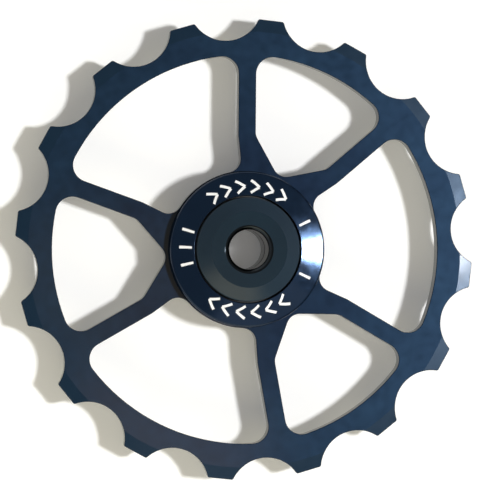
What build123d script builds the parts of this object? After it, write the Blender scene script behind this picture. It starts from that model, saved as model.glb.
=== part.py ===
from build123d import *
from math import cos, pi, radians, sin, sqrt
import os

# Derailleur jockey wheel: a sixteen-tooth aluminium pulley on a sealed ball bearing,
# with a turned dust cap on each side. Millimetres, +Z along the axle and out of the
# front face, origin on the axle at mid-width.

# Chain and teeth
tooth_count = 16
chain_pitch = 12.7
roller_diameter = 7.75
root_clearance = 0.1  # room between a chain roller and the bottom of its seat
seat_radius = 5.05  # round of the gap between two teeth
tooth_height = 2.9  # bottom of a seat to the flat tip
tip_corner_radius = 0.3
tip_bevel_reach = 1.7  # how far the bevel on a tooth's side comes in from the tip
tip_bevel_depth = 0.3
plate_thickness = 2.2

# Rim, spokes and windows
rim_thickness = 2.04  # window to the bottom of a tooth seat
window_pairs = 3  # one large and one small window in each
large_window_angle = 70.6  # between the spokes on both sides of a large window
spoke_width = 2.4
spoke_neck_radius = 15.6  # where a spoke's parallel edges end
spoke_root_offset = 0.66  # spoke's middle line to the large window's edge at the hub
vee_point_offset = -0.05  # hub's circle to the sharp point of a small window
rim_corner_radius = 2.3
hub_corner_radius = 1.9

# Hub of the wheel
hub_wall = 2.4  # bearing seat to the edge of the boss's sloping face
boss_face_fall = 0.6  # how far the boss's face slopes down to its edge
boss_bevel_reach = 0.2  # bevel round the boss, outwards
boss_bevel_fall = 0.2  # bevel round the boss, towards the plate
hub_ledge = 0.15  # side of the boss to the windows
lip_thickness = 0.7  # front lip that the bearing stops against
mouth_chamfer = 0.3  # at the rear, where the bearing goes in
mouth_land = 0.2  # flat rim round that mouth

# Ball bearing
bearing_bore = 8.0
bearing_diameter = 16.0
bearing_width = 5.0
ball_count = 9
ball_share = 0.595  # ball's diameter as a share of the bearing's section
race_clearance = 0.05  # ball to the bottom of each raceway
race_conformity = 0.52  # raceway radius as a share of the ball's diameter
race_depth = 0.31  # land of a ring to the bottom of its raceway
ring_chamfer = 0.2  # on the outer ring's outside edges
seal_thickness = 0.4
seal_inset = 0.15  # face of the rings to the face of a seal
seal_clearance = 0.06  # seal's lip to the inner ring
seal_step_depth = 0.35  # step in the outer ring that a seal sits in
cage_clearance = 0.2  # cage to the rings
cage_end_clearance = 0.25  # closed side of the cage to the rear seal
horn_inset = 0.4  # top of a ball to the open side of the cage
pocket_clearance = 0.1

# Dust caps
bolt_bore = 5.4
bolt_chamfer = 0.45
spigot_clearance = 0.02
spigot_gap = 0.1  # between the ends of the two spigots
shoulder_inset = 0.25  # inner ring's edge to the shoulder that bears on it
shoulder_height = 0.35
flange_inset = 0.9  # bearing's outside to the flange's edge
flange_clearance = 0.25  # flange to the front lip
flange_edge_height = 0.5
flange_edge_chamfer = 0.15
cap_height = 1.8  # bearing's face to the clamping face
clamp_face_radius = 5.2

# Sizes that follow
pitch_radius = chain_pitch / (2 * sin(pi / tooth_count))
root_radius = pitch_radius - roller_diameter / 2 - root_clearance
tip_radius = root_radius + tooth_height
rim_inner_radius = root_radius - rim_thickness
bearing_radius = bearing_diameter / 2
half_bearing = bearing_width / 2
boss_edge_radius = bearing_radius + hub_wall
boss_radius = boss_edge_radius + boss_bevel_reach
hub_radius = boss_radius + hub_ledge
mouth_radius = bearing_radius + mouth_chamfer
half_hub = half_bearing + lip_thickness
boss_edge_height = half_hub - boss_face_fall
boss_side_height = boss_edge_height - boss_bevel_fall
half_plate = plate_thickness / 2
bearing_section = bearing_radius - bearing_bore / 2
ball_diameter = ball_share * bearing_section
ball_radius = ball_diameter / 2
ball_circle_radius = (bearing_bore + bearing_diameter) / 4
race_radius = race_conformity * ball_diameter
inner_race_bottom = ball_circle_radius - ball_radius - race_clearance
outer_race_bottom = ball_circle_radius + ball_radius + race_clearance
inner_land_radius = inner_race_bottom + race_depth
outer_land_radius = outer_race_bottom - race_depth
half_race = sqrt(race_radius**2 - (race_radius - race_depth) ** 2)
seal_seat_radius = outer_land_radius + seal_step_depth
seal_outer_face = half_bearing - seal_inset
seal_inner_face = seal_outer_face - seal_thickness
flange_radius = bearing_radius - flange_inset
lip_radius = flange_radius + flange_clearance


def turned(*points, race_bottom=None):
    """Solid turned about the axle from (radius, height) points, closed straight or by a raceway."""
    if race_bottom is None:
        outline = [Polyline(*points, close=True)]
    else:
        raceway = ThreePointArc(points[-1], (race_bottom, 0), points[0])
        outline = [Polyline(*points), raceway]
    return revolve(Plane.XZ * make_face(outline), Axis.Z)


def on_spoke_edge(radius, angle, offset):
    """Point at a radius on a line beside a spoke's middle line, on the window's side."""
    along = sqrt(radius**2 - offset**2)
    x = along * cos(radians(angle)) + offset * sin(radians(angle))
    y = along * sin(radians(angle)) - offset * cos(radians(angle))
    return Vector(x, y)


def across(point):
    """The same point on the other side of a window's axis."""
    return Vector(point.X, -point.Y)


def corners_at(face, *points):
    """Corners of a face that were drawn at the given points."""
    return [face.vertices().sort_by_distance(point)[0] for point in points]


def large_window():
    """Window with an arc along the hub, on the +X axis."""
    angle = large_window_angle / 2
    rim = on_spoke_edge(rim_inner_radius, angle, spoke_width / 2)
    neck = on_spoke_edge(spoke_neck_radius, angle, spoke_width / 2)
    hub = on_spoke_edge(hub_radius, angle, spoke_root_offset)
    outline = [
        Line(hub, neck),
        Line(neck, rim),
        ThreePointArc(rim, (rim_inner_radius, 0), across(rim)),
        Line(across(rim), across(neck)),
        Line(across(neck), across(hub)),
        ThreePointArc(across(hub), (hub_radius, 0), hub),
    ]
    window = make_face(outline)
    window = fillet(corners_at(window, rim, across(rim)), rim_corner_radius)
    return fillet(corners_at(window, hub, across(hub)), hub_corner_radius)


def small_window():
    """Window that runs to a point at the hub, on the +X axis."""
    angle = 180 / window_pairs - large_window_angle / 2
    rim = on_spoke_edge(rim_inner_radius, angle, spoke_width / 2)
    neck = on_spoke_edge(spoke_neck_radius, angle, spoke_width / 2)
    vee = Vector(hub_radius + vee_point_offset, 0)
    outline = [
        Line(vee, neck),
        Line(neck, rim),
        ThreePointArc(rim, (rim_inner_radius, 0), across(rim)),
        Line(across(rim), across(neck)),
        Line(across(neck), vee),
    ]
    window = make_face(outline)
    window = fillet(corners_at(window, rim, across(rim)), rim_corner_radius)
    return fillet(corners_at(window, neck, across(neck), vee), hub_corner_radius)


def tooth_outline():
    """Flat-tipped teeth left between round seats, with a seat on the +X axis."""
    tips = RegularPolygon(tip_radius, tooth_count, major_radius=False)
    seats = PolarLocations(root_radius + seat_radius, tooth_count) * Circle(seat_radius)
    outline = tips - seats
    return fillet(outline.vertices(), tip_corner_radius)


def tip_bevels():
    """Rings that thin the teeth towards their tips, on both faces."""
    start = tip_radius - tip_bevel_reach
    slope = tip_bevel_depth / tip_bevel_reach
    end = tip_radius + tooth_height
    drop = slope * (end - start)
    front = turned((start, half_plate), (end, half_plate - drop), (end, half_plate + drop))
    return front + mirror(front, Plane.XY)


def make_wheel_body():
    """Toothed plate, spokes and hub, cut from one blank."""
    plate = extrude(tooth_outline(), half_plate, both=True) - tip_bevels()
    windows = Sketch() + PolarLocations(0, window_pairs) * large_window()
    windows += PolarLocations(0, window_pairs, start_angle=180 / window_pairs) * small_window()
    plate -= extrude(windows, plate_thickness, both=True)
    boss = turned(
        (0, -half_hub),
        (mouth_radius + mouth_land, -half_hub),
        (boss_edge_radius, -boss_edge_height),
        (boss_radius, -boss_side_height),
        (boss_radius, boss_side_height),
        (boss_edge_radius, boss_edge_height),
        (lip_radius, half_hub),
        (0, half_hub),
    )
    pocket = turned(
        (0, -half_hub),
        (mouth_radius, -half_hub),
        (bearing_radius, mouth_chamfer - half_hub),
        (bearing_radius, half_bearing),
        (lip_radius, half_bearing),
        (lip_radius, half_hub),
        (0, half_hub),
    )
    return plate + boss - pocket


def make_outer_ring():
    """Outer ring with its raceway and a step for the seal at each side."""
    half_profile = [
        (outer_land_radius, half_race),
        (outer_land_radius, seal_inner_face),
        (seal_seat_radius, seal_inner_face),
        (seal_seat_radius, half_bearing),
        (bearing_radius - ring_chamfer, half_bearing),
        (bearing_radius, half_bearing - ring_chamfer),
    ]
    other_half = [(radius, -height) for radius, height in reversed(half_profile)]
    return turned(*half_profile, *other_half, race_bottom=outer_race_bottom)


def make_inner_ring():
    """Inner ring with its raceway, gripped between the caps."""
    half_profile = [
        (inner_land_radius, half_race),
        (inner_land_radius, half_bearing),
        (bearing_bore / 2, half_bearing),
    ]
    other_half = [(radius, -height) for radius, height in reversed(half_profile)]
    return turned(*half_profile, *other_half, race_bottom=inner_race_bottom)


def make_cage():
    """Crown cage: a ring with a snap-in pocket for each ball, open towards the front."""
    inside = inner_land_radius + cage_clearance
    outside = outer_land_radius - cage_clearance
    closed_side = cage_end_clearance - seal_inner_face
    open_side = ball_radius - horn_inset
    ring = turned(
        (inside, closed_side),
        (outside, closed_side),
        (outside, open_side),
        (inside, open_side),
    )
    pocket = Rot(0, 90, 0) * Cylinder(ball_radius + pocket_clearance, outside)
    return ring - PolarLocations(ball_circle_radius, ball_count) * pocket


def make_ball(index):
    """One ball in its place on the ball circle."""
    turn = Rot(0, 0, index * 360 / ball_count)
    return turn * Pos(ball_circle_radius, 0, 0) * Sphere(ball_radius)


def make_seal():
    """Rubber seal in the front step of the outer ring, clear of the inner ring."""
    lip = inner_land_radius + seal_clearance
    return turned(
        (lip, seal_inner_face),
        (seal_seat_radius, seal_inner_face),
        (seal_seat_radius, seal_outer_face),
        (lip, seal_outer_face),
    )


def make_cap():
    """Front dust cap: spigot in the inner ring, shoulder on it, flange over the seal."""
    bore = bolt_bore / 2
    spigot = bearing_bore / 2 - spigot_clearance
    shoulder = inner_land_radius - shoulder_inset
    underside = half_bearing + shoulder_height
    edge = underside + flange_edge_height
    top = half_bearing + cap_height
    return turned(
        (bore, spigot_gap / 2),
        (spigot, spigot_gap / 2),
        (spigot, half_bearing),
        (shoulder, half_bearing),
        (shoulder, underside),
        (flange_radius, underside),
        (flange_radius, edge - flange_edge_chamfer),
        (flange_radius - flange_edge_chamfer, edge),
        (clamp_face_radius, top),
        (bore + bolt_chamfer, top),
        (bore, top - bolt_chamfer),
    )


parts = {
    "wheel_body": make_wheel_body(),
    "bearing_outer_ring": make_outer_ring(),
    "bearing_inner_ring": make_inner_ring(),
    "bearing_cage": make_cage(),
    "bearing_seal_front": make_seal(),
    "bearing_seal_rear": mirror(make_seal(), Plane.XY),
    "cap_front": make_cap(),
    "cap_rear": mirror(make_cap(), Plane.XY),
}
for ball in range(ball_count):
    parts[f"bearing_ball_{ball + 1}"] = make_ball(ball)

os.makedirs("parts", exist_ok=True)
for name, shape in parts.items():
    export_step(shape, f"parts/{name}.step")
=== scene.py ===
from math import acos, atan, cos, radians, sin

import bmesh
import bpy
from mathutils import Matrix, Vector


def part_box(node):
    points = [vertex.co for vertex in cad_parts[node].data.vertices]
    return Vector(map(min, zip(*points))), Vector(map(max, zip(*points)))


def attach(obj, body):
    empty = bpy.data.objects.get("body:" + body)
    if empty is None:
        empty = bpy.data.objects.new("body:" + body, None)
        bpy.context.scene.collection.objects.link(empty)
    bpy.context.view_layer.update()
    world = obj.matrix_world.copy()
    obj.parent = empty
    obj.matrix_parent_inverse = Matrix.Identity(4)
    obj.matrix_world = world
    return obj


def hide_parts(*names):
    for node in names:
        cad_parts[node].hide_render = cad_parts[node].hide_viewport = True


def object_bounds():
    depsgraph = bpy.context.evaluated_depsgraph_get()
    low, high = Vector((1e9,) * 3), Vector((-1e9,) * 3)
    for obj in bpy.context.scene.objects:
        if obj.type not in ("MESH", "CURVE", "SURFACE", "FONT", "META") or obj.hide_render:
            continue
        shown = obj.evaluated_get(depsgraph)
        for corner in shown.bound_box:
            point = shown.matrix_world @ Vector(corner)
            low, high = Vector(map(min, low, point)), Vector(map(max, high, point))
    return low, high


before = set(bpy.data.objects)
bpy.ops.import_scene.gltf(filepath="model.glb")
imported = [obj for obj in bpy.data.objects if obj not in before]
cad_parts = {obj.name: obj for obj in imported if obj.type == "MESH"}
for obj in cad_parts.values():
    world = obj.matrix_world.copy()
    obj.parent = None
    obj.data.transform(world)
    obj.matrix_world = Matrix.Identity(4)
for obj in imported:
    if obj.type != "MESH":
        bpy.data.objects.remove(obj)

cad_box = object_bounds()
MM = 0.001

# Sizes of the wheel that the looks hang on, in metres
plate_top = 1.1 * MM
hub_reach = 10.7 * MM
boss_inner = 7.35 * MM
boss_outer = 10.4 * MM
boss_fall = 0.6 * MM
bore_reach = 3.4 * MM
clamp_reach = 5.3 * MM
tooth_root = 28.6 * MM
boss_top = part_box("wheel_body")[1].z
everywhere = 1.0  # a radius well past the teeth

# Edges eased by a small bevel
plate_edge = 0.08 * MM
hub_edge = 0.06 * MM
cap_edge = 0.1 * MM
bore_edge = 0.16 * MM
ring_edge = 0.08 * MM
seal_edge = 0.05 * MM
edge_segments = 2
weld_distance = 0.0005 * MM
place_digits = 4  # decimals of a millimetre that tell two places apart
flat_angle = radians(0.4)
crease_angle = radians(8)
eased_angle = radians(32)

# Leans of faces from the plate's plane, least and most
wall_lean = (radians(84), radians(91))
mouth_lean = (radians(35), radians(55))
slope_lean = (radians(6), radians(14))
flat_lean = (0, radians(2))

# Anodised finish: cloudy dye on a blasted or turned surface, with painted shade that darkens it towards
# the hub
cloud_size = 6 * MM
cloud_share = 0.4
# Painted shade near the hub: full inside the first radius, gone past the second, lifting the tone by the
# share
hub_shade_fade_from = 14 * MM
hub_shade_fade_to = 26 * MM
hub_shade_share = 0.6
patch_size = 1.3 * MM
patch_spread = 0.04
blast_size = 0.09 * MM
lathe_pitch = 0.16 * MM
surface_depth = 0.0022 * MM
navy_dark = (0.0005, 0.0094, 0.0303)
navy_light = (0.0070, 0.0268, 0.0590)

# Ground steel
steel_dark = (0.52, 0.52, 0.53)
steel_light = (0.64, 0.64, 0.63)
steel_cloud_size = 2 * MM
grinding_pitch = 0.06 * MM
grinding_depth = 0.0008 * MM
steel_smooth = 0.2
steel_rough = 0.34

# Moulded and painted finishes
mottle_size = 1.5 * MM
skin_patch_size = 0.8 * MM
skin_spread = 0.07

# White marks on the boss's sloping face
mark_inner = 7.72 * MM
mark_outer = 9.42 * MM
mark_stroke = 0.35 * MM
mark_lift = 0.012 * MM
mark_root = 0.02 * MM
mark_steps = 6
arrow_half_share = 0.3  # half an arrow head's length, of the room that it has

# The photograph's view: at the front face, a little from the left, and turned a little
camera_roll = radians(-4.85)
camera_lean = radians(8)
camera_distance = 430 * MM
field_width = 67.0 * MM
wheel_off_right = 0.10 * MM
wheel_off_up = -0.53 * MM
nearest_seen = 1 * MM

# Floor, and the key lamp's place
floor_half = 1.0
floor_gap = 0.02 * MM
floor_colour = (0.97, 0.967, 0.955, 1)
glow_colour = (1, 0.99, 0.97, 1)
glow_strength = 0.10
key_tilt = radians(30.3)
key_distance = 0.8

# Sky: bright at the horizon, even above it, and dimmer overhead
sky_colour = (1, 0.99, 0.96, 1)
horizon_strength = 1.0
even_strength = 0.28
overhead_loss = 0.1
horizon_ends = sin(radians(3))
even_starts = sin(radians(12))
even_ends = sin(radians(45))
overhead_starts = sin(radians(65))


# Nodes that the materials share

def new_material(name):
    """A material with only a Principled shader, and its node tree."""
    material = bpy.data.materials.new(name)
    material.use_nodes = True
    tree = material.node_tree
    tree.nodes.clear()
    shader = tree.nodes.new("ShaderNodeBsdfPrincipled")
    output = tree.nodes.new("ShaderNodeOutputMaterial")
    tree.links.new(shader.outputs["BSDF"], output.inputs["Surface"])
    return material, tree, shader


def feed(tree, socket, value):
    """Sets an input socket to a plain value, or links another node's output to it."""
    if isinstance(value, bpy.types.NodeSocket):
        tree.links.new(value, socket)
    else:
        socket.default_value = value


def place(tree):
    """A point's place on its piece, in metres."""
    return tree.nodes.new("ShaderNodeTexCoord").outputs["Object"]


def noise(tree, size, detail=3.0, vector=None):
    """Cloudy noise from 0 to 1 whose blotches are about that size in metres."""
    node = tree.nodes.new("ShaderNodeTexNoise")
    node.inputs["Scale"].default_value = 1 / size
    node.inputs["Detail"].default_value = detail
    feed(tree, node.inputs["Vector"], vector or place(tree))
    return node.outputs["Fac"]


def ramp(tree, value, low, high, start=0.3, end=0.7):
    """Turns the range of a value from start to end into the range from low to high."""
    node = tree.nodes.new("ShaderNodeMapRange")
    feed(tree, node.inputs["Value"], value)
    node.inputs["From Min"].default_value = start
    node.inputs["From Max"].default_value = end
    node.inputs["To Min"].default_value = low
    node.inputs["To Max"].default_value = high
    return node.outputs["Result"]


def between(tree, factor, first, second):
    """A colour between two, by a factor from 0 to 1."""
    node = tree.nodes.new("ShaderNodeMix")
    node.data_type = "RGBA"
    feed(tree, node.inputs["Factor"], factor)
    colours = [socket for socket in node.inputs if socket.type == "RGBA"]
    feed(tree, colours[0], (*first, 1))
    feed(tree, colours[1], (*second, 1))
    return [socket for socket in node.outputs if socket.type == "RGBA"][0]


def arithmetic(tree, operation, first, second):
    """One sum, product or other operation on two numbers."""
    node = tree.nodes.new("ShaderNodeMath")
    node.operation = operation
    feed(tree, node.inputs[0], first)
    feed(tree, node.inputs[1], second)
    return node.outputs[0]


def axle_radius(tree):
    """Distance from the axle's centre line, in metres."""
    flatten = tree.nodes.new("ShaderNodeVectorMath")
    flatten.operation = "MULTIPLY"
    feed(tree, flatten.inputs[0], place(tree))
    flatten.inputs[1].default_value = (1, 1, 0)
    length = tree.nodes.new("ShaderNodeVectorMath")
    length.operation = "LENGTH"
    feed(tree, length.inputs[0], flatten.outputs[0])
    return length.outputs["Value"]


def turned_lines(tree, pitch):
    """Fine rings left by a lathe tool, uneven from one turn to the next, from 0 to 1."""
    rings = tree.nodes.new("ShaderNodeCombineXYZ")
    feed(tree, rings.inputs["X"], axle_radius(tree))
    separate = tree.nodes.new("ShaderNodeSeparateXYZ")
    feed(tree, separate.inputs["Vector"], place(tree))
    feed(tree, rings.inputs["Y"], separate.outputs["Z"])
    return noise(tree, pitch, detail=2.0, vector=rings.outputs["Vector"])


def bump(tree, shader, height, depth):
    """Raises the surface by a height from 0 to 1 times the depth in metres."""
    node = tree.nodes.new("ShaderNodeBump")
    node.inputs["Strength"].default_value = 1.0
    node.inputs["Distance"].default_value = depth
    feed(tree, node.inputs["Height"], height)
    feed(tree, shader.inputs["Normal"], node.outputs["Normal"])


# Materials

def anodised(
    name, dark, light, metal, shine, roughness, turned_roughness, turned_inside, coat, coat_roughness,
):
    """
    Dyed aluminium, part matt oxide and part metal, bead-blasted, but turned on a lathe inside a radius.
    The dye is cloudy, and painted shade darkens it towards the hub, fading out towards the rim.
    """
    material, tree, shader = new_material(name)
    shader.inputs["Metallic"].default_value = metal
    shader.inputs["Specular IOR Level"].default_value = shine
    shader.inputs["Coat Weight"].default_value = coat
    shader.inputs["Coat Roughness"].default_value = coat_roughness
    cloudy = ramp(tree, noise(tree, cloud_size, detail=5.0), 0.0, cloud_share)
    # Painted shade: the base colour is darker near the hub and lifts towards the rim
    hub_shade_lift = ramp(tree, axle_radius(tree), 0.0, hub_shade_share, start=hub_shade_fade_from, end=hub_shade_fade_to)
    tone = arithmetic(tree, "ADD", cloudy, hub_shade_lift)
    feed(tree, shader.inputs["Base Color"], between(tree, tone, dark, light))
    patches = noise(tree, patch_size, detail=4.0)
    patchy = ramp(tree, patches, roughness - patch_spread, roughness + patch_spread)
    inside = arithmetic(tree, "LESS_THAN", axle_radius(tree), turned_inside)
    smoother = arithmetic(tree, "MULTIPLY", inside, roughness - turned_roughness)
    feed(tree, shader.inputs["Roughness"], arithmetic(tree, "SUBTRACT", patchy, smoother))
    grain = noise(tree, blast_size, detail=2.0)
    rings = arithmetic(tree, "MULTIPLY", turned_lines(tree, lathe_pitch), inside)
    bump(tree, shader, arithmetic(tree, "ADD", grain, rings), surface_depth)
    return material


def ground_steel():
    """Bearing steel with fine grinding lines round the axle."""
    material, tree, shader = new_material("bearing_steel_ground")
    shader.inputs["Metallic"].default_value = 1.0
    tone = ramp(tree, noise(tree, steel_cloud_size), 0.0, 1.0)
    feed(tree, shader.inputs["Base Color"], between(tree, tone, steel_dark, steel_light))
    lines = turned_lines(tree, grinding_pitch)
    feed(tree, shader.inputs["Roughness"], ramp(tree, lines, steel_smooth, steel_rough))
    bump(tree, shader, lines, grinding_depth)
    return material


def moulded(name, dark, light, roughness, grain_size, depth):
    """Moulded rubber, nylon or dry paint: a faint mottle and a fine matt skin."""
    material, tree, shader = new_material(name)
    tone = ramp(tree, noise(tree, mottle_size), 0.0, 1.0)
    feed(tree, shader.inputs["Base Color"], between(tree, tone, dark, light))
    patches = noise(tree, skin_patch_size)
    patchy = ramp(tree, patches, roughness - skin_spread, roughness + skin_spread)
    feed(tree, shader.inputs["Roughness"], patchy)
    bump(tree, shader, noise(tree, grain_size, detail=2.0), depth)
    return material


navy_face = anodised(
    "navy_anodised", navy_dark, navy_light,
    metal=0.65, shine=0.24, roughness=0.32, turned_roughness=0.11, turned_inside=hub_reach,
    coat=0.27, coat_roughness=0.1,
)
navy_edge = anodised(
    "navy_anodised_edge", (0.0034, 0.0112, 0.0300), (0.0086, 0.0265, 0.0541),
    metal=0.65, shine=0.24, roughness=0.32, turned_roughness=0.11, turned_inside=hub_reach,
    coat=0.1, coat_roughness=0.3,
)
navy_wall = anodised(
    "navy_anodised_wall", navy_dark, navy_light,
    metal=0.65, shine=0.24, roughness=0.2, turned_roughness=0.2, turned_inside=hub_reach,
    coat=0.75, coat_roughness=0.08,
)
navy_tip = anodised(
    "navy_anodised_tip", (0.0056, 0.0200, 0.0430), (0.0076, 0.0260, 0.0530),
    metal=0.3, shine=0.19, roughness=0.32, turned_roughness=0.32, turned_inside=hub_reach,
    coat=0.3, coat_roughness=0.1,
)
navy_boss = anodised(
    "navy_anodised_boss", (0.0066, 0.0200, 0.0480), (0.0100, 0.0300, 0.0700),
    metal=0.65, shine=0.24, roughness=0.32, turned_roughness=0.13, turned_inside=hub_reach,
    coat=0.27, coat_roughness=0.1,
)
grey_face = anodised(
    "grey_anodised", (0.0094, 0.0228, 0.0385), (0.0134, 0.0325, 0.0535),
    metal=0.2, shine=0.05, roughness=0.85, turned_roughness=0.85, turned_inside=everywhere,
    coat=0.62, coat_roughness=0.29,
)
# Painted shade: a darker copy of the cap's grey finish on the flat clamping face round the bore
grey_flat_painted_shade = anodised(
    "grey_anodised_flat_painted_shade", (0.0040, 0.0170, 0.0310), (0.0064, 0.0250, 0.0430),
    metal=0.2, shine=0.05, roughness=0.85, turned_roughness=0.85, turned_inside=everywhere,
    coat=0.4, coat_roughness=0.2,
)
# Painted shade: a near-black copy of the cap's finish in the bore's chamfered mouth and on its eased
# edge, polished for a sharp glint
grey_mouth_painted_shade = anodised(
    "grey_polished_mouth_painted_shade", (0.014, 0.019, 0.024), (0.022, 0.029, 0.036),
    metal=1.0, shine=0.5, roughness=0.08, turned_roughness=0.08, turned_inside=everywhere,
    coat=0.3, coat_roughness=0.06,
)
# Painted shade: the bore's wall takes a grey metal set to the tone of the shaded floor seen down the bore
bore_wall_painted_shade = anodised(
    "bore_wall_grey_painted_shade", (0.19, 0.195, 0.2), (0.23, 0.235, 0.24),
    metal=1.0, shine=0.5, roughness=0.22, turned_roughness=0.22, turned_inside=everywhere,
    coat=0.0, coat_roughness=0.1,
)
steel = ground_steel()
rubber = moulded(
    "seal_rubber_moulded", (0.012, 0.012, 0.012), (0.022, 0.022, 0.022),
    roughness=0.55, grain_size=0.12 * MM, depth=0.004 * MM,
)
nylon = moulded(
    "cage_nylon_moulded", (0.70, 0.66, 0.55), (0.77, 0.74, 0.64),
    roughness=0.45, grain_size=0.2 * MM, depth=0.003 * MM,
)
paint = moulded(
    "print_white_paint", (0.86, 0.86, 0.85), (0.92, 0.92, 0.91),
    roughness=0.5, grain_size=0.08 * MM, depth=0.003 * MM,
)


# Pieces with eased edges, from the frame's own nodes

def add_piece(name, mesh, materials, body):
    """Makes an edited mesh into a piece with its finishes, which rides on a body."""
    data = bpy.data.meshes.new(name)
    mesh.to_mesh(data)
    mesh.free()
    for material in materials:
        data.materials.append(material)
    piece = bpy.data.objects.new(name, data)
    bpy.context.scene.collection.objects.link(piece)
    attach(piece, body)
    return piece


def end_points(edge):
    """A key for an edge by the places of its two ends."""
    return frozenset(tuple(round(part / MM, place_digits) for part in vertex.co) for vertex in edge.verts)


def is_crease(edge, borders):
    """True where two faces of the solid meet at an angle, and not within one curved face."""
    return edge.is_manifold and end_points(edge) in borders and edge.calc_face_angle() > crease_angle


def ease(mesh, width, low_radius, high_radius, material_index):
    """Bevels the outward edges that lie between two radii about the axle."""
    edges = []
    for edge in mesh.edges:
        middle = (edge.verts[0].co + edge.verts[1].co) / 2
        outward = not edge.smooth and edge.is_convex and edge.calc_face_angle() > eased_angle
        if outward and low_radius <= middle.xy.length < high_radius:
            edges.append(edge)
    bmesh.ops.bevel(
        mesh, geom=edges, offset=width, offset_type="OFFSET", segments=edge_segments,
        profile=0.5, affect="EDGES", clamp_overlap=True, material=material_index,
    )


def eased_copy(node, body, materials, bands, zones=()):
    """
    A copy of a node with bevelled edges, which stands for it. A band is a width, two radii and the
    material of the bevels. A zone is two leans from flat, two radii and the material of the faces there.
    """
    mesh = bmesh.new()
    mesh.from_mesh(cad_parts[node].data)
    borders = {end_points(edge) for edge in mesh.edges if edge.is_boundary}
    bmesh.ops.remove_doubles(mesh, verts=mesh.verts, dist=weld_distance)
    for edge in mesh.edges:
        edge.smooth = not is_crease(edge, borders)
    bmesh.ops.dissolve_limit(
        mesh, angle_limit=flat_angle, verts=mesh.verts, edges=mesh.edges, delimit={"SHARP"},
    )
    for width, low_radius, high_radius, material in bands:
        ease(mesh, width, low_radius, high_radius, materials.index(material))
    for face in mesh.faces:
        face.smooth = True
        lean = acos(min(abs(face.normal.z), 1))
        radius = face.calc_center_median().xy.length
        for least, most, low_radius, high_radius, material in zones:
            if least <= lean < most and low_radius <= radius < high_radius:
                face.material_index = materials.index(material)
    piece = add_piece(node + "_eased", mesh, materials, body)
    shading = piece.modifiers.new("even_shading", "WEIGHTED_NORMAL")
    shading.keep_sharp = True
    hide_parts(node)


def round_ball(node):
    """A copy of a ball without folded triangles at its poles, which stands for it."""
    mesh = bmesh.new()
    mesh.from_mesh(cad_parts[node].data)
    bmesh.ops.remove_doubles(mesh, verts=mesh.verts, dist=weld_distance)
    bmesh.ops.dissolve_degenerate(mesh, edges=mesh.edges, dist=weld_distance)
    for face in mesh.faces:
        face.smooth = True
    piece = add_piece(node + "_round", mesh, (steel,), "ball_set")
    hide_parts(node)


eased_copy(
    "wheel_body", "wheel", (navy_face, navy_edge, navy_wall, navy_tip, navy_boss),
    bands=[
        (plate_edge, hub_reach, everywhere, navy_edge),
        (hub_edge, 0, hub_reach, navy_face),
    ],
    zones=[
        (*wall_lean, hub_reach, everywhere, navy_wall),
        (*slope_lean, tooth_root, everywhere, navy_tip),
        (*slope_lean, 0, hub_reach, navy_boss),
    ],
)
for cap in ("cap_front", "cap_rear"):
    eased_copy(
        cap, "axle_set", (grey_face, grey_mouth_painted_shade, bore_wall_painted_shade, grey_flat_painted_shade),
        bands=[
            (bore_edge, 0, bore_reach, grey_mouth_painted_shade),
            (cap_edge, bore_reach, everywhere, grey_face),
        ],
        zones=[
            (*wall_lean, 0, bore_reach, bore_wall_painted_shade),
            (*mouth_lean, 0, bore_reach, grey_mouth_painted_shade),
            (*flat_lean, 0, clamp_reach, grey_flat_painted_shade),
        ],
    )
eased_copy(
    "bearing_outer_ring", "wheel", (steel,),
    bands=[(ring_edge, 0, everywhere, steel)],
)
for seal in ("bearing_seal_front", "bearing_seal_rear"):
    eased_copy(
        seal, "wheel", (rubber,),
        bands=[(seal_edge, 0, everywhere, rubber)],
    )
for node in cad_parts:
    if node.startswith("bearing_ball"):
        round_ball(node)

# The frame's own shapes of the inner ring and the cage stay and take a finish
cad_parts["bearing_inner_ring"].data.materials[0] = steel
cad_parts["bearing_cage"].data.materials[0] = nylon


# Print on the boss: plain bars and arrow heads, without words

mark_middle = (mark_inner + mark_outer) / 2


def on_boss(angle, radius, lift):
    """A point over the boss's sloping front face."""
    fall = boss_fall * (radius - boss_inner) / (boss_outer - boss_inner)
    return Vector((radius * cos(angle), radius * sin(angle), boss_top - fall + lift))


def add_stroke(mesh, start, end):
    """A painted stroke between two places, each an angle and a radius, with square ends."""
    along = Vector(((end[0] - start[0]) * mark_middle, end[1] - start[1])).normalized()
    side = Vector((-along.y, along.x)) * mark_stroke / 2
    section = ((1, -mark_root), (1, mark_lift), (-1, mark_lift), (-1, -mark_root))
    rows = []
    for step in range(mark_steps + 1):
        share = step / mark_steps
        angle = start[0] + (end[0] - start[0]) * share
        radius = start[1] + (end[1] - start[1]) * share
        row = []
        for way, lift in section:
            turned = angle + way * side.x / mark_middle
            row.append(mesh.verts.new(on_boss(turned, radius + way * side.y, lift)))
        rows.append(row)
    for first, second in zip(rows, rows[1:]):
        for corner in range(len(section)):
            after = (corner + 1) % len(section)
            mesh.faces.new((first[corner], first[after], second[after], second[corner]))
    mesh.faces.new(rows[0][::-1])
    mesh.faces.new(rows[-1])


def print_piece(name, strokes):
    """One group of painted strokes, as a piece that turns with the wheel."""
    mesh = bmesh.new()
    for start, end in strokes:
        add_stroke(mesh, start, end)
    bmesh.ops.recalc_face_normals(mesh, faces=mesh.faces)
    add_piece(name, mesh, (paint,), "wheel")


def spread(middle, span, count):
    """Angles in the middles of equal rooms, side by side over a span."""
    return [middle - span / 2 + span * (index + 0.5) / count for index in range(count)]


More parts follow.
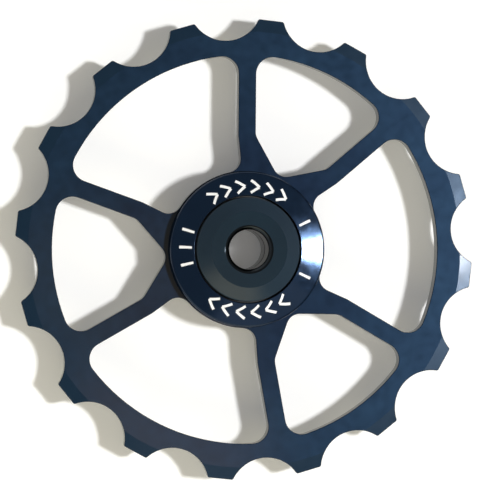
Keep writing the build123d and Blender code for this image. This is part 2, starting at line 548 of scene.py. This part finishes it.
def arrow_heads(middle, span, count):
    """Arrow heads in a row round the boss, pointing clockwise as seen from the front."""
    strokes = []
    half = span / count * arrow_half_share
    for angle in spread(middle, span, count):
        tip = (angle - half, mark_middle)
        strokes.append(((angle + half, mark_outer), tip))
        strokes.append(((angle + half, mark_inner), tip))
    return strokes


def bars(middle, span, count):
    """Upright bars in a row round the boss."""
    return [((angle, mark_inner), (angle, mark_outer)) for angle in spread(middle, span, count)]


print_piece("print_arrows_top", arrow_heads(radians(90) + camera_roll, span=radians(80), count=6))
print_piece("print_arrows_bottom", arrow_heads(radians(270) + camera_roll, span=radians(82), count=6))
print_piece("print_bars_left", bars(radians(178) + camera_roll, span=radians(46), count=3))
print_piece("print_bars_right", bars(radians(0) + camera_roll, span=radians(66), count=4))


# Studio: camera, floor, lamps and world

image_right = Vector((cos(camera_roll), sin(camera_roll), 0))
image_up = Vector((-sin(camera_roll), cos(camera_roll), 0))
upwards = Vector((0, 0, 1))


def make_camera():
    """The photograph's camera, which leans to the left over the wheel."""
    towards_camera = upwards * cos(camera_lean) - image_right * sin(camera_lean)
    camera_right = image_right * cos(camera_lean) + upwards * sin(camera_lean)
    lens = bpy.data.cameras.new("photo_camera")
    lens.angle = 2 * atan(field_width / 2 / camera_distance)
    lens.clip_start = nearest_seen
    camera = bpy.data.objects.new("photo_camera", lens)
    camera.location = (
        upwards * plate_top + towards_camera * camera_distance
        - camera_right * wheel_off_right - image_up * wheel_off_up
    )
    camera.rotation_euler = Matrix((camera_right, image_up, towards_camera)).transposed().to_euler()
    bpy.context.scene.collection.objects.link(camera)
    bpy.context.scene.camera = camera


def seen_directly(tree):
    """1 for what the camera sees straight, mirrored or through glass, 0 for light that is passed on."""
    path = tree.nodes.new("ShaderNodeLightPath")
    mirrored = arithmetic(tree, "MAXIMUM", path.outputs["Is Camera Ray"], path.outputs["Is Glossy Ray"])
    return arithmetic(tree, "MAXIMUM", mirrored, path.outputs["Is Transmission Ray"])


def make_floor():
    """A pale sheet under the wheel, seen from above only."""
    height = cad_box[0].z - floor_gap
    corners = [
        (-floor_half, -floor_half, height), (floor_half, -floor_half, height),
        (floor_half, floor_half, height), (-floor_half, floor_half, height),
    ]
    data = bpy.data.meshes.new("floor")
    data.from_pydata(corners, [], [(0, 1, 2, 3)])
    material, tree, shader = new_material("pale_floor")
    shader.inputs["Base Color"].default_value = floor_colour
    shader.inputs["Roughness"].default_value = 1.0
    shader.inputs["Specular IOR Level"].default_value = 0.0
    shader.inputs["Emission Color"].default_value = glow_colour
    glow = arithmetic(tree, "MULTIPLY", seen_directly(tree), glow_strength)
    feed(tree, shader.inputs["Emission Strength"], glow)
    back = tree.nodes.new("ShaderNodeNewGeometry").outputs["Backfacing"]
    feed(tree, shader.inputs["Alpha"], arithmetic(tree, "SUBTRACT", 1.0, back))
    data.materials.append(material)
    floor = bpy.data.objects.new("floor", data)
    bpy.context.scene.collection.objects.link(floor)


def add_lamp(name, across, up, out, width, height, power, colour):
    """An oval soft lamp at a place given in the photograph's directions, aimed at the wheel."""
    data = bpy.data.lights.new(name, "AREA")
    data.shape = "ELLIPSE"
    data.size = width
    data.size_y = height
    data.energy = power
    data.color = colour
    lamp = bpy.data.objects.new(name, data)
    lamp.location = image_right * across + image_up * up + upwards * out
    lamp.rotation_euler = lamp.location.to_track_quat("Z", "Y").to_euler()
    bpy.context.scene.collection.objects.link(lamp)


def make_world():
    """A pale sky that lights the wheel by its height, and is white where the camera looks at it."""
    world = bpy.data.worlds.new("studio")
    bpy.context.scene.world = world
    world.use_nodes = True
    tree = world.node_tree
    sky = tree.nodes["Background"]
    sky.inputs["Color"].default_value = sky_colour
    direction = tree.nodes.new("ShaderNodeSeparateXYZ")
    feed(tree, direction.inputs["Vector"], tree.nodes.new("ShaderNodeTexCoord").outputs["Generated"])
    height = direction.outputs["Z"]
    low_sky = ramp(tree, height, horizon_strength, even_strength, start=horizon_ends, end=even_starts)
    loss = ramp(tree, height, 0.0, overhead_loss, start=even_ends, end=overhead_starts)
    lighting = arithmetic(tree, "SUBTRACT", low_sky, loss)
    backdrop = tree.nodes.new("ShaderNodeLightPath").outputs["Is Camera Ray"]
    feed(tree, sky.inputs["Strength"], arithmetic(tree, "MAXIMUM", lighting, backdrop))


make_camera()
make_floor()
add_lamp(
    "key", across=key_distance * sin(key_tilt), up=0.0, out=key_distance * cos(key_tilt),
    width=0.085, height=0.085, power=5.15, colour=(0.985, 0.99, 1.0),
)
add_lamp(
    "fill", across=-0.11, up=-0.30, out=0.17,
    width=0.66, height=0.22, power=0.68, colour=(1.0, 0.92, 0.62),
)
add_lamp(
    "ceiling", across=0.065, up=-0.08, out=0.7,
    width=0.08, height=0.08, power=0.04, colour=(1.0, 0.72, 0.55),
)
add_lamp(
    "window", across=0.1, up=-0.29, out=0.7,
    width=0.6, height=0.12, power=0.11, colour=(0.95, 0.97, 1.0),
)
add_lamp(
    "wall", across=0.057, up=-0.014, out=0.7,
    width=0.06, height=0.09, power=0.0135, colour=(1.0, 0.66, 0.08),
)
make_world()
bpy.context.scene.view_settings.view_transform = "Standard"
